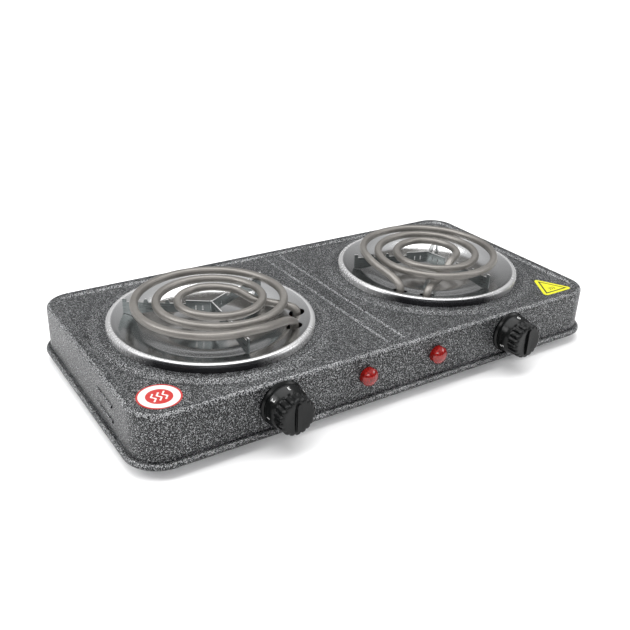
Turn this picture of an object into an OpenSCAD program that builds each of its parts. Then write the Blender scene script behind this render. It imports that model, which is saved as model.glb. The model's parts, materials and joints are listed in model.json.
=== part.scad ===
// Portable two-burner electric hot plate with open spiral elements.
// Units are millimetres, +Z is up, the controls face -Y. The origin is the centre of the
// whole outline, knobs and cord gland included, on the surface that the feet stand on.

/* [Body] */
// Length of the housing at its top edge
body_len = 480; // [440:1:520]
// Depth of the housing at its top edge
body_dep = 236; // [230:1:260]
// Height of the housing from its rim to its top edge
body_h = 47; // [45:0.5:60]
// Radius of the upright corners
corner_r = 26; // [20:1:40]
// Radius of the bend between top and walls
bend_r = 3.5; // [2.5:0.5:5]
// Thickness of the steel sheet
sheet = 1; // [0.8:0.1:1.2]
// How far the rolled rim stands out from the walls
rim_out = 4.3; // [3:0.1:6]
// Radius of the rolled rim
rim_r = 2.8; // [2:0.1:3.2]
// Gap between the rim and the table
foot_h = 8; // [7:0.5:12]
// Width of the raised border round the top panel
border_w = 8.5; // [7:0.5:9]
// Depth of the top panel below its border
panel_drop = 1.7; // [1.5:0.1:2.5]

/* [Burners] */
// Distance of each burner's centre from the middle
burner_x = 123; // [120:1:124]
// Outer radius of a drip pan
pan_r = 91.3; // [88:0.1:93]
// Outer radius of the pressed collar that a drip pan sits on
collar_r = 105.5; // [104:0.5:107.5]
// Height of a drip pan's rim above its collar
pan_rim_h = 7.2; // [5:0.1:9]
// Diameter of the heating element's tube
tube_d = 7.4; // [6.5:0.1:8]
// Radius of the element's outer turn, to the middle of its tube
turn_r = 66.5; // [64:0.5:67]
// Distance from one turn to the next
turn_pitch = 18.7; // [18:0.1:19]
// Height of the element's flat top above the housing's top edge
coil_top = 22.5; // [21:0.5:24]
// How far the right burner is turned from the left one
right_turn = -107; // [-120:1:-95]

/* [Controls] */
// Height of the knobs and lamps above the housing's rim
control_z = 27; // [26:0.5:28]
// Radius of a knob's skirt
knob_r = 18.5; // [17:0.1:19]
// Length of a knob without its grip bar
knob_len = 22; // [18:0.5:24]
// Distance of each lamp from the middle
lamp_x = 38; // [30:1:50]
// Radius of a lamp's lens
lens_r = 8; // [6:0.5:9]
// Height of the straight side of a lamp's lens
lens_side = 4.6; // [1:0.2:6]

/* [Hidden] */
$fn = 72;

gap = 0.3;                       // clearance between pieces that move past each other
front_y = -body_dep / 2;         // outside of the front wall
back_y = body_dep / 2;           // outside of the back wall
bezel_t = 3.4;                   // thickness of a knob bezel
bezel_r = 19.3;                  // radius of a knob bezel
knob_back = bezel_t + 0.6;       // from the front wall to the back of a knob
pointer_h = 1.4;                 // height of the grip bar on a knob's face
gland_out = 7;                   // how far the cord gland stands out of the back wall
knob_reach = knob_back + knob_len + pointer_h;
origin_y = (knob_reach - gland_out) / 2;
panel_z = body_h - panel_drop;   // top of the recessed panel
collar_z = body_h - 0.4;         // top of the pressed collars
ramp_w = 1.8;                    // width of the slope from the border down to the panel
pan_hole_r = 86;                 // opening in the housing under a drip pan
pan_t = 0.8;                     // thickness of the drip pan's sheet
tube_r = tube_d / 2;
tube_flat = 0.6;                 // how much of the tube's top is pressed flat
tube_z = body_h + coil_top - tube_r + tube_flat;
turn_2 = turn_r - turn_pitch;
turn_3 = turn_2 - turn_pitch;
step_at = 20;                    // direction where a turn begins to step inwards
outer_leg_r = 74;
outer_leg_at = -43;              // direction of the outer end's leg
inner_leg_r = 75.5;
inner_leg_at = -23;              // direction of the inner end's leg
leg_hole_r = 7;
lead_sweep = 20;                 // part of the outer turn that already slopes down to its leg
lead_z = tube_z - tube_d - 1;    // height at which the inner end passes under the turns
pin_top = body_h - 21;           // lower end of the element's legs
arm_t = 1.2;                     // thickness of the support strips
arm_end = 77.5;                  // outer end of a support arm
arm_top = body_h + 18.8;         // top of the support's tips
arm_low = body_h + 7.5;          // lower edge of the support near its hub
arm_seat = tube_z - tube_r - 0.05;
spindle_r = 3;
spindle_end = 17;                // length of the spindle behind the front wall
base_z = 1.2;                    // underside of the base plate above the rim's lowest point
screw_x = 205;
screw_y = 96;
foot_x = 186;
foot_y = 84;
gland_x = 0;
gland_bore_r = 3.9;
pin_len_below = 11;              // length of a terminal pin under the element's leg

steel_grey = [0.36, 0.37, 0.39];
polished = [0.82, 0.83, 0.84];
element_grey = [0.60, 0.58, 0.55];
zinc = [0.70, 0.71, 0.72];
black = [0.05, 0.05, 0.05];
ceramic_white = [0.90, 0.88, 0.82];
lamp_red = [0.65, 0.08, 0.06];

// ---------- frames ----------

module placed() {
    translate([0, origin_y, foot_h]) children();
}

module at_burner(side) {
    placed() translate([side * burner_x, 0, 0]) rotate([0, 0, side > 0 ? right_turn : 0]) children();
}

// Points away from the front wall along +Z of the child, with the wall's outside at z = 0
module at_front(x) {
    placed() translate([x, front_y, control_z]) rotate([90, 0, 0]) children();
}

// ---------- shared shapes ----------

module rounded_rect(len, dep, r) {
    square([len - 2 * r, dep], center = true);
    square([len, dep - 2 * r], center = true);
    for (sx = [-1, 1], sy = [-1, 1])
        translate([sx * (len / 2 - r), sy * (dep / 2 - r)]) circle(r);
}

// A round rod from p to q
module rod(p, q, r) {
    v = q - p;
    flat = norm([v[0], v[1]]);
    translate(p) rotate([0, atan2(flat, v[2]), atan2(v[1], v[0])]) cylinder(h = norm(v), r = r, $fn = 24);
}

// A bent rod through all the points, with a round knuckle at each bend
module bent_rod(points, r) {
    for (i = [0 : len(points) - 2]) rod(points[i], points[i + 1], r);
    for (i = [1 : len(points) - 2]) translate(points[i]) sphere(r * 1.035, $fn = 24);
}

module ring(outer, inner, height) {
    difference() {
        cylinder(h = height, r = outer);
        translate([0, 0, -1]) cylinder(h = height + 2, r = inner);
    }
}

// A pan-head screw whose head rests on z = 0 and whose shank points down
module screw(head_r, head_h, shank_r, shank_len) {
    difference() {
        union() {
            cylinder(h = head_h, r = head_r, $fn = 32);
            translate([0, 0, -shank_len]) cylinder(h = shank_len + 0.1, r = shank_r, $fn = 32);
        }
        translate([0, 0, head_h]) cube([head_r * 1.5, 0.6, head_h], center = true);
        translate([0, 0, head_h]) cube([0.6, head_r * 1.5, head_h], center = true);
    }
}

// ---------- body ----------

// Section through the pressed sheet, from the middle of a corner's bend outwards
module wall_section() {
    wall_low = rim_r + 1.5;
    step_x = corner_r - border_w;
    translate([corner_r - sheet, wall_low]) square([sheet, body_h - bend_r - wall_low]);
    translate([corner_r - bend_r, body_h - bend_r]) difference() {
        intersection() {
            circle(bend_r);
            square(bend_r);
        }
        circle(bend_r - sheet);
    }
    polygon([[0, panel_z - sheet], [step_x - ramp_w, panel_z - sheet], [step_x, body_h - sheet],
             [corner_r - bend_r, body_h - sheet], [corner_r - bend_r, body_h], [step_x, body_h],
             [step_x - ramp_w, panel_z], [0, panel_z]]);
    translate([corner_r + rim_out - rim_r, rim_r]) difference() {
        circle(rim_r);
        circle(rim_r - sheet);
    }
}

// The sheet swept round the outline, with the flat middle of the panel
module pressed_shell() {
    long_run = body_len - 2 * corner_r;
    deep_run = body_dep - 2 * corner_r;
    for (sx = [0, 1]) mirror([sx, 0, 0]) {
        for (sy = [0, 1]) mirror([0, sy, 0])
            translate([long_run / 2, deep_run / 2, 0]) rotate_extrude(angle = 90) wall_section();
        translate([long_run / 2, deep_run / 2, 0]) rotate([90, 0, 0])
            linear_extrude(deep_run) wall_section();
    }
    for (sy = [0, 1]) mirror([0, sy, 0])
        translate([-long_run / 2, deep_run / 2, 0]) rotate([90, 0, 90])
            linear_extrude(long_run) wall_section();
    translate([-long_run / 2, -deep_run / 2, panel_z - sheet]) cube([long_run, deep_run, sheet]);
}

// The folded lugs inside the rim that the base plate is screwed to
module housing_lugs() {
    for (sx = [-1, 1], sy = [-1, 1])
        translate([sx * screw_x, sy * (back_y - sheet - 8), base_z + sheet + 0.6])
            translate([0, 0, sheet / 2]) cube([18, 18, sheet], center = true);
}

module pan_collars() {
    slope_w = 7;
    for (sx = [-1, 1])
        translate([sx * burner_x, 0, 0]) rotate_extrude($fn = 144)
            polygon([[pan_hole_r, panel_z - sheet], [collar_r, panel_z - sheet], [collar_r, panel_z],
                     [collar_r - slope_w, collar_z], [pan_hole_r, collar_z]]);
}

// A pair of V grooves from front to back, or the folds of sheet under them
module panel_grooves(top, half_w, depth) {
    groove_x = 8.75;
    groove_len = body_dep - 2 * border_w - 8;
    for (sx = [-1, 1])
        translate([sx * groove_x, 0, top]) rotate([90, 0, 0]) linear_extrude(groove_len, center = true)
            polygon([[-half_w, 0], [half_w, 0], [0, -depth]]);
}

module side_louvres() {
    louvre_y = -48;
    louvre_len = 34;
    for (sx = [-1, 1], z = [17, 31])
        translate([sx * body_len / 2, louvre_y, z]) rotate([90, 0, 0])
            cylinder(h = louvre_len, r = 1.3, center = true, $fn = 24);
}

module housing() {
    groove_half = 1.6;
    groove_depth = 1.3;
    color(steel_grey) placed() difference() {
        union() {
            pressed_shell();
            pan_collars();
            side_louvres();
            housing_lugs();
            panel_grooves(panel_z - sheet + 0.1, groove_half, groove_depth);
        }
        panel_grooves(panel_z + 0.01, groove_half, groove_depth);
        for (sx = [-1, 1]) {
            translate([sx * burner_x, 0, body_h - 6]) cylinder(h = 12, r = pan_hole_r, $fn = 144);
            translate([knob_x(sx), front_y - 1, control_z]) rotate([-90, 0, 0]) {
                cylinder(h = sheet + 2, r = 5.6);
                for (s = [-1, 1]) translate([s * 12, 0, 0]) cylinder(h = sheet + 2, r = 1.8, $fn = 32);
            }
            translate([sx * lamp_x, front_y - 1, control_z]) rotate([-90, 0, 0])
                cylinder(h = sheet + 2, r = 5.2);
            for (sy = [-1, 1])
                translate([sx * screw_x, sy * screw_y, 0]) cylinder(h = 6, r = 1.5, $fn = 32);
        }
        translate([gland_x, back_y - sheet - 1, control_z]) rotate([-90, 0, 0])
            cylinder(h = sheet + 2, r = 6.6);
    }
}

module vent_slots() {
    slot_len = 44;
    slot_w = 4;
    for (sx = [-1, 1], i = [-3 : 3])
        translate([sx * burner_x + i * 15, 0, base_z - 1]) {
            translate([0, 0, 2]) cube([slot_w, slot_len, 4], center = true);
            for (sy = [-1, 1])
                translate([0, sy * slot_len / 2, 0]) cylinder(h = 4, r = slot_w / 2, $fn = 32);
        }
}

module base_plate() {
    play = 0.4;
    color(zinc) placed() difference() {
        translate([0, 0, base_z]) linear_extrude(sheet)
            rounded_rect(body_len - 2 * sheet - 2 * play, body_dep - 2 * sheet - 2 * play,
                         corner_r - sheet - play);
        vent_slots();
        for (sx = [-1, 1], sy = [-1, 1]) {
            translate([sx * screw_x, sy * screw_y, 0]) cylinder(h = 6, r = 2, $fn = 32);
            translate([sx * foot_x, sy * foot_y, 0]) cylinder(h = 6, r = 2.2, $fn = 32);
        }
        for (s = [-1, 1])
            translate([block_at[0] + s * block_pitch / 2, block_at[1], 0]) cylinder(h = 6, r = 1.25, $fn = 32);
    }
}

module base_screws() {
    color(zinc) placed() for (sx = [-1, 1], sy = [-1, 1])
        translate([sx * screw_x, sy * screw_y, base_z]) rotate([180, 0, 0])
            screw(3.2, 1.9, 1.45, 7);
}

module rubber_feet() {
    foot_r = 9;
    color(black) placed() for (sx = [-1, 1], sy = [-1, 1])
        translate([sx * foot_x, sy * foot_y, -foot_h]) difference() {
            rotate_extrude() polygon([[0, 0], [foot_r - 1.2, 0], [foot_r - 0.4, 0.8],
                                      [foot_r, foot_h + base_z], [0, foot_h + base_z]]);
            translate([0, 0, -1]) cylinder(h = 5, r = 4.5);
            cylinder(h = 20, r = 2.2, $fn = 32);
        }
}

module foot_screws() {
    color(zinc) placed() for (sx = [-1, 1], sy = [-1, 1])
        translate([sx * foot_x, sy * foot_y, -foot_h + 4]) {
            rotate([180, 0, 0]) screw(4, 2, 2, 10.5);
            translate([0, 0, foot_h - 4 + base_z + sheet]) ring(3.8, 2, 2.4);
        }
}

// ---------- burners ----------

// The points of a line moved sideways by d
function beside_line(points, d) = [
    for (i = [0 : len(points) - 1])
        let (v = points[min(i + 1, len(points) - 1)] - points[max(i - 1, 0)])
        points[i] + d / norm(v) * [-v[1], v[0]]
];

function backwards(points) = [for (i = [len(points) - 1 : -1 : 0]) points[i]];

// Thin sheet section that follows a row of [radius, height] points
module sheet_section(points, t) {
    polygon(concat(beside_line(points, t / 2), backwards(beside_line(points, -t / 2))));
}

function leg_point(r, at) = [r * cos(at), r * sin(at)];
function at_height(p, z) = [p[0], p[1], z];

leg_a = leg_point(outer_leg_r, outer_leg_at);
leg_b = leg_point(inner_leg_r, inner_leg_at);
leg_half = norm(leg_b - leg_a) / 2;

// Midway between a burner's legs, with the X axis from one to the other
module at_legs() {
    mid = (leg_a + leg_b) / 2;
    across = leg_b - leg_a;
    translate([mid[0], mid[1], 0]) rotate([0, 0, atan2(across[1], across[0])]) children();
}

module drip_pan(side) {
    wall_r = pan_r - pan_t / 2;
    base = collar_z + 0.1;
    top = collar_z + pan_rim_h - pan_t / 2;
    crest_r = 3;
    dish = [
        [0, body_h - 6.2], [40, body_h - 6.2], [46, body_h - 5.5], [54, body_h - 3.6], [62, body_h - 0.8],
        [71, body_h + 2.6], [80, body_h + 4.6], [83.6, top - 1.1]
    ];
    crest = [for (a = [110 : -22 : 0]) [wall_r - crest_r + crest_r * cos(a), top - crest_r + crest_r * sin(a)]];
    profile = concat(dish, crest, [[wall_r, base]]);
    color(polished) at_burner(side) difference() {
        rotate_extrude($fn = 144) sheet_section(profile, pan_t);
        for (leg = [leg_a, leg_b])
            translate([leg[0], leg[1], body_h - 12]) cylinder(h = 24, r = leg_hole_r);
    }
}

// Section of the element's tube, with its top pressed flat
module tube_section() {
    intersection() {
        circle(tube_r, $fn = 40);
        translate([0, -tube_flat]) square([2 * tube_d, 2 * tube_r], center = true);
    }
}

// An arc of the element round the point x on the X axis
module turn_arc(x, r, from, sweep) {
    translate([x, 0, tube_z]) rotate([0, 0, from])
        rotate_extrude(angle = sweep, $fn = 120) translate([r, 0]) tube_section();
}

// Round half-turns about two centres step the spiral inwards without a kink
module spiral_turns(outer_start, inner_stop) {
    half_step = turn_pitch / 2;
    rotate([0, 0, step_at]) {
        turn_arc(0, turn_r, 0, 360 + outer_start - step_at);
        turn_arc(half_step, turn_r - half_step, 180, 180);
        turn_arc(0, turn_2, 0, 180);
        turn_arc(half_step, turn_2 - half_step, 180, 180);
        rotate([0, 0, 180]) mirror([0, 1, 0]) turn_arc(0, turn_3, 0, 180 + step_at - inner_stop);
    }
}

module element(side) {
    outer_start = outer_leg_at - acos(turn_r / outer_leg_r);
    inner_stop = inner_leg_at + acos(turn_3 / inner_leg_r);
    leave_at = outer_start - lead_sweep;
    tangent = leg_point(turn_r, outer_start);
    inner = leg_point(turn_3, inner_stop);
    out = heading(tangent, leg_a);
    along = heading(inner, leg_b);
    color(element_grey) at_burner(side) {
        spiral_turns(leave_at, inner_stop);
        bent_rod([
            at_height(leg_point(turn_r, leave_at - 3), tube_z),
            at_height(leg_point(turn_r, leave_at), tube_z),
            at_height(tangent, tube_z - 2.9),
            at_height(leg_a - 11 * out, tube_z - 6),
            at_height(leg_a - 4.5 * out, tube_z - 8.6),
            at_height(leg_a - 1 * out, tube_z - 12),
            at_height(leg_a, tube_z - 16),
            at_height(leg_a, pin_top)
        ], tube_r - 0.15);
        bent_rod([
            at_height(inner - 2 * along, tube_z),
            at_height(inner + 13 * along, tube_z),
            at_height(inner + 29 * along, lead_z),
            at_height(leg_b - 9 * along, lead_z - 1.2),
            at_height(leg_b - 2.4 * along, lead_z - 3.6),
            at_height(leg_b, lead_z - 8),
            at_height(leg_b, pin_top)
        ], tube_r - 0.15);
    }
}

// One arm of the support, in its own plane: tips stand up between the turns
module arm_outline(tips) {
    foot_z = body_h + 4.1;
    difference() {
        union() {
            polygon([[0, arm_low], [50, arm_low], [70, body_h + 3.4], [arm_end - 0.6, foot_z + 0.6],
                     [arm_end, foot_z + 1.2], [arm_end, arm_seat], [0, arm_seat]]);
            translate([0, arm_seat - 1]) square([turn_3 - tube_r - 3, arm_top - arm_seat + 1]);
            translate([arm_end - 3.5, arm_seat - 1]) square([3.5, arm_top - arm_seat + 1]);
            for (r = tips)
                polygon([[r - 2.6, arm_seat - 1], [r + 2.6, arm_seat - 1], [r + 0.9, arm_top],
                         [r - 0.9, arm_top]]);
        }
        for (x = [7, 13]) translate([x, body_h + 10.5]) square([1.4, 4]);
    }
}

module support_strip(direction, tips, start) {
    rotate([0, 0, direction]) rotate([90, 0, 0]) translate([0, 0, -arm_t / 2])
        linear_extrude(arm_t) intersection() {
            arm_outline(tips);
            translate([start, 0]) square([200, 200]);
        }
}

yoke_arms = [27, 147];
single_arm = -94;
even_tips = [38.5, 57.2];
front_tips = [43.2, 59.6];

module support_yoke(side) {
    color(zinc) at_burner(side) {
        for (direction = yoke_arms) support_strip(direction, even_tips, 0);
        translate([0, 0, arm_low - 0.2]) cylinder(h = arm_top - arm_low + 0.4, r = 1.3, $fn = 24);
    }
}

module support_arm(side) {
    color(zinc) at_burner(side) support_strip(single_arm, front_tips, 1.35);
}

module terminal_ceramic(side) {
    color(ceramic_white) at_burner(side) at_legs() translate([0, 0, pin_top - 6]) difference() {
        translate([0, 0, 5]) cube([44, 15, 10], center = true);
        for (s = [-1, 1]) translate([s * leg_half, 0, 0]) {
            translate([0, 0, -1]) cylinder(h = 12, r = 2.2, $fn = 32);
            translate([0, 0, 5.95]) cylinder(h = 12, r = tube_r + gap);
        }
        translate([0, 0, -1]) cylinder(h = 12, r = 2.1, $fn = 32);
    }
}

module terminal_pins(side) {
    color(zinc) at_burner(side) for (leg = [leg_a, leg_b]) translate([leg[0], leg[1], pin_top]) {
        translate([0, 0, -pin_len_below]) cylinder(h = pin_len_below, r = 2, $fn = 32);
        translate([0, 0, -10]) cylinder(h = 3, r = 3.8, $fn = 6);
        translate([0, 0, -7]) cylinder(h = 0.9, r = 4.2, $fn = 32);
    }
}

// A steel strap on the base plate that carries the ceramic
module terminal_bracket(side) {
    deck_z = pin_top - 7.4;
    floor_z = base_z + sheet;
    color(zinc) at_burner(side) at_legs() difference() {
        union() {
            translate([0, 0, deck_z + 0.6]) cube([56, 12, 1.2], center = true);
            for (s = [-1, 1]) {
                translate([s * 27.4, 0, (deck_z + floor_z) / 2 + 0.6])
                    cube([1.2, 12, deck_z - floor_z + 1.2], center = true);
                translate([s * 32, 0, floor_z + 0.6]) cube([10.4, 12, 1.2], center = true);
            }
        }
        for (s = [-1, 1]) {
            translate([s * leg_half, 0, deck_z - 1]) cylinder(h = 4, r = 5.2);
            translate([s * 32.5, 0, floor_z - 1]) cylinder(h = 4, r = 1.6, $fn = 32);
        }
        translate([0, 0, deck_z - 1]) cylinder(h = 4, r = 1.6, $fn = 32);
    }
}

module bracket_screws() {
    floor_z = base_z + sheet + 1.2;
    color(zinc) for (side = [-1, 1]) at_burner(side) at_legs() {
        for (s = [-1, 1]) translate([s * 32.5, 0, floor_z]) screw(3, 1.8, 1.5, 1.2);
        translate([0, 0, pin_top + 4]) screw(3.2, 1.9, 1.5, 13);
    }
}

// ---------- controls ----------

// The knobs sit a little to the right of the burners' middles
function knob_x(side) = side * (burner_x + 1) + 2;

module knob_bezel(side) {
    color(black) at_front(knob_x(side)) difference() {
        rotate_extrude($fn = 96) polygon([[0, 0], [bezel_r, 0], [bezel_r, bezel_t - 1.4],
                                          [bezel_r - 1.4, bezel_t], [0, bezel_t]]);
        translate([0, 0, -1]) cylinder(h = bezel_t + 2, r = spindle_r + 1.6);
        for (s = [-1, 1]) translate([s * 12, 0, -1]) cylinder(h = bezel_t - 0.4, r = 3.4);
    }
}

module knob(side) {
    skirt_h = 3.6;
    shoulder_h = 11;
    face_r = 16.3;
    flutes = 18;
    color(black) at_front(knob_x(side)) translate([0, 0, knob_back]) difference() {
        rotate_extrude($fn = 96) polygon([
            [0, 0], [knob_r, 0], [knob_r, skirt_h], [knob_r - 0.9, shoulder_h - 2.6], [face_r, shoulder_h],
            [face_r, knob_len - 2.4], [face_r - 0.7, knob_len - 0.8], [face_r - 2.4, knob_len], [0, knob_len]
        ]);
        for (i = [0 : flutes - 1]) rotate([0, 0, i * 360 / flutes])
            translate([face_r + 1.7, 0, shoulder_h + 0.3]) cylinder(h = knob_len, r = 2.5, $fn = 24);
        translate([0, 0, -1]) difference() {
            cylinder(h = 13, r = spindle_r + 0.02);
            translate([-spindle_r - 1, spindle_r - 1.2, 5]) cube([2 * spindle_r + 2, 4, 10]);
        }
        translate([0, 0, -1]) ring(knob_r - 2.2, spindle_r + 3.5, 5);
    }
}

module knob_pointer(side) {
    bar_w = 5.4;
    bar_len = 27;
    color(black) at_front(knob_x(side)) translate([0, 0, knob_back + knob_len]) {
        linear_extrude(pointer_h - 0.8) rounded_rect(bar_w, bar_len, bar_w / 2 - 0.05);
        linear_extrude(pointer_h) rounded_rect(bar_w - 1.6, bar_len - 1.6, bar_w / 2 - 0.85);
    }
}

// The spindle that the knob turns, with a flat that the knob's bore matches
module thermostat_spindle(side) {
    color(zinc) at_front(knob_x(side)) difference() {
        translate([0, 0, -spindle_end]) cylinder(h = spindle_end + knob_back + 11.6, r = spindle_r);
        translate([-spindle_r - 1, spindle_r - 1.2, knob_back + 4]) cube([2 * spindle_r + 2, 4, 10]);
    }
}

bush_end = 14;
guide_at = spindle_end + 3.5;
guide_t = 1.6;
pin_r = 1.6;
blade_z = guide_at + guide_t + 6.4;
blade_t = 0.6;
blade_gap = 3.9;                 // between the two contact blades
blade_shift = 4.7;
pin_back = spindle_end + 0.4;
pin_travel = 0.8;
pin_len = blade_z - pin_back - pin_travel - 0.5;

module thermostat_frame(side) {
    plate_w = 32;
    plate_h = 15;
    color(zinc) at_front(knob_x(side)) {
        difference() {
            union() {
                translate([0, 0, -sheet - 0.65]) cube([plate_w, plate_h, 1.2], center = true);
                translate([0, 0, -bush_end]) cylinder(h = bush_end - sheet - 0.1, r = 5);
            }
            translate([0, 0, -bush_end - 1]) cylinder(h = bush_end + 2, r = spindle_r + 0.05);
            for (s = [-1, 1]) translate([s * 12, 0, -4]) cylinder(h = 8, r = 1.6, $fn = 32);
        }
        for (s = [-1, 1])
            translate([s * (plate_w / 2 - 0.6), 0, -(guide_at + guide_t + sheet + 0.05) / 2])
                cube([1.2, plate_h, guide_at + guide_t - sheet - 0.05], center = true);
        difference() {
            translate([0, 0, -guide_at - guide_t / 2]) cube([plate_w, plate_h, guide_t], center = true);
            translate([0, 0, -guide_at - guide_t - 1]) cylinder(h = guide_t + 2, r = pin_r + 0.05);
            translate([11, 0, -guide_at - guide_t - 1]) cylinder(h = guide_t + 2, r = 1.7, $fn = 32);
        }
    }
}

module thermostat_ceramics(side) {
    color(ceramic_white) at_front(knob_x(side))
        translate([11, 0, -guide_at - guide_t - 0.05]) for (level = [[0, 6.3], [7, 3.2], [10.9, 3.2]])
            translate([0, 0, -level[0] - level[1]]) ring(4.4, 1.7, level[1]);
}

module contact_blades(side) {
    stack_x = 11;
    stack_end = guide_at + guide_t + 15.4;
    color("goldenrod") at_front(knob_x(side)) {
        for (level = [[0, 0], [blade_shift, blade_gap]]) difference() {
            translate([level[0], 0, -blade_z - level[1] - blade_t / 2])
                cube([36, 6, blade_t], center = true);
            translate([stack_x, 0, -blade_z - level[1] - 2]) cylinder(h = 4, r = 1.7, $fn = 32);
        }
        translate([stack_x, 0, -stack_end]) cylinder(h = stack_end - guide_at + 1, r = 1.55, $fn = 32);
        translate([stack_x, 0, -stack_end]) cylinder(h = 1.2, r = 2.8, $fn = 32);
        translate([-12, 0, -blade_z - blade_gap + 1]) cylinder(h = 2.3, r = 1.7, $fn = 32);
    }
}

module push_pin(side) {
    color(ceramic_white) at_front(knob_x(side))
        translate([0, 0, -pin_back - pin_len]) cylinder(h = pin_len, r = pin_r);
}

module thermostat_screws() {
    color(zinc) for (sx = [-1, 1], s = [-1, 1])
        at_front(knob_x(sx)) translate([s * 12, 0, 0]) screw(3, 1.8, 1.5, 6);
}

module lamp_lens(side) {
    dome = 4.4;
    ball = (lens_r * lens_r + dome * dome) / (2 * dome);
    color(lamp_red) at_front(side * lamp_x) {
        intersection() {
            translate([0, 0, lens_side + dome - ball]) sphere(ball, $fn = 96);
            translate([0, 0, lens_side]) cylinder(h = dome + 1, r = lens_r);
        }
        translate([0, 0, 0.05]) cylinder(h = lens_side - 0.05, r = lens_r);
    }
}

module lamp_holder(side) {
    color(lamp_red) at_front(side * lamp_x) translate([0, 0, -20]) {
        difference() {
            cylinder(h = 20, r = 5);
            translate([0, 0, -1]) cylinder(h = 18, r = 3.6);
        }
        translate([0, 0, 2]) cylinder(h = 11, r = 2.4, $fn = 32);
        translate([0, 0, 12.5]) cylinder(h = 5, r = 1.2, $fn = 24);
    }
}

module lamp_clips() {
    color(zinc) for (sx = [-1, 1]) at_front(sx * lamp_x) translate([0, 0, -sheet - 1.1]) difference() {
        cylinder(h = 1, r = 8, $fn = 48);
        translate([0, 0, -1]) cylinder(h = 3, r = 5.05);
    }
}

// ---------- supply ----------

module at_back(x) {
    placed() translate([x, back_y, control_z]) rotate([-90, 0, 0]) children();
}

module cord_gland() {
    color(black) at_back(gland_x) difference() {
        union() {
            rotate_extrude() polygon([[0, 0.05], [9.5, 0.05], [9.5, 2.2], [7, 3.4], [6, gland_out], [0, gland_out]]);
            translate([0, 0, -11]) cylinder(h = 11.2, r = 6.3);
            translate([0, 0, -sheet - 2.1]) cylinder(h = 2, r = 8);
        }
        translate([0, 0, -12]) cylinder(h = gland_out + 14, r = gland_bore_r);
    }
}

block_at = [0, back_y - 44, base_z + sheet];
block_pitch = 12;                // distance between the poles of the terminal block

module mains_terminal_block() {
    color(ceramic_white) placed() translate(block_at) difference() {
        union() {
            translate([0, 0, 3]) cube([40, 18, 6], center = true);
            for (i = [-1 : 1]) translate([i * block_pitch, 0, 8.5]) cube([9, 18, 11], center = true);
        }
        for (i = [-1 : 1]) {
            translate([i * block_pitch, 0, 9]) rotate([90, 0, 0]) cylinder(h = 20, r = 2.4, center = true, $fn = 32);
            translate([i * block_pitch, 0, 9]) cylinder(h = 8, r = 2.1, $fn = 32);
        }
        for (s = [-1, 1]) translate([s * block_pitch / 2, 0, -1]) cylinder(h = 9, r = 1.6, $fn = 32);
    }
}

module terminal_block_screws() {
    color(zinc) placed() translate(block_at) {
        for (i = [-1 : 1]) translate([i * block_pitch, 0, 12.2]) screw(1.9, 1.4, 1.4, 1.2);
        for (s = [-1, 1]) translate([s * block_pitch / 2, 0, 6]) screw(1.4, 1, 1.2, 6.9);
    }
}

earth_at = [46, back_y - 40, base_z + sheet];

module earth_screw() {
    color("goldenrod") placed() translate(earth_at) {
        translate([0, 0, 2.3]) screw(3.6, 2.2, 1.9, 2.3);
        ring(4.4, 1.95, 1);
        translate([0, 0, 1.1]) ring(4.4, 1.95, 1.1);
    }
}

hole_z = block_at[2] + 9;        // middle of the holes in the terminal block
mouth_y = block_at[1] - 4;       // where the inner wires end in those holes
wire_r = 1;
thin_r = 0.6;
wire_bend = 2.2;
floor_level = base_z + sheet + 3.8;
run_level = hole_z - 0.6;

function heading(p, q) = (q - p) / norm(q - p);

// A wire that runs square to the body, with a quarter bend at each inner point
module routed(points, r) {
    last = len(points) - 1;
    for (i = [0 : last - 1]) {
        way = heading(points[i], points[i + 1]);
        rod(points[i] + (i > 0 ? wire_bend : 0) * way,
            points[i + 1] - (i < last - 1 ? wire_bend : 0) * way, r);
    }
    for (i = [1 : last - 1]) {
        u = heading(points[i - 1], points[i]);
        v = heading(points[i], points[i + 1]);
        w = cross(u, v);
        c = points[i] + wire_bend * (v - u);
        multmatrix([[-v[0], u[0], w[0], c[0]], [-v[1], u[1], w[1], c[1]], [-v[2], u[2], w[2], c[2]]])
            rotate_extrude(angle = 90) translate([wire_bend, 0]) circle(r, $fn = 24);
    }
}

module supply_wires() {
    entry_y = back_y - 14;
    turn_y = entry_y - 8;
    blocked_y = block_at[1] + 4;
    core_x = 2.2;
    earth_y = mouth_y - 8;
    earth_z = earth_at[2] + 1.1;
    color("saddlebrown") placed() {
        routed([[0, entry_y, control_z], [0, turn_y, control_z], [0, turn_y, hole_z], [0, blocked_y, hole_z]],
               wire_r);
        for (s = [-1, 1])
            routed([[s * core_x, entry_y, control_z], [s * core_x, turn_y, control_z],
                    [s * block_pitch, turn_y, control_z], [s * block_pitch, turn_y, hole_z],
                    [s * block_pitch, blocked_y, hole_z]], wire_r);
        routed([[block_pitch, mouth_y, hole_z], [block_pitch, earth_y, hole_z], [earth_at[0], earth_y, hole_z],
                [earth_at[0], earth_y, earth_z], [earth_at[0], earth_at[1] - 4.45, earth_z]], wire_r);
    }
}

function tenth(a) = round(a * 10) / 10;

// Place of a point of a burner's own frame on the body, to a tenth of a millimetre
function burner_point(side, p) =
    let (turn = side > 0 ? right_turn : 0)
    [tenth(side * burner_x + p[0] * cos(turn) - p[1] * sin(turn)), tenth(p[0] * sin(turn) + p[1] * cos(turn))];

near_blade_y = front_y + blade_z + blade_t / 2;
far_blade_y = near_blade_y + blade_gap;

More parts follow.
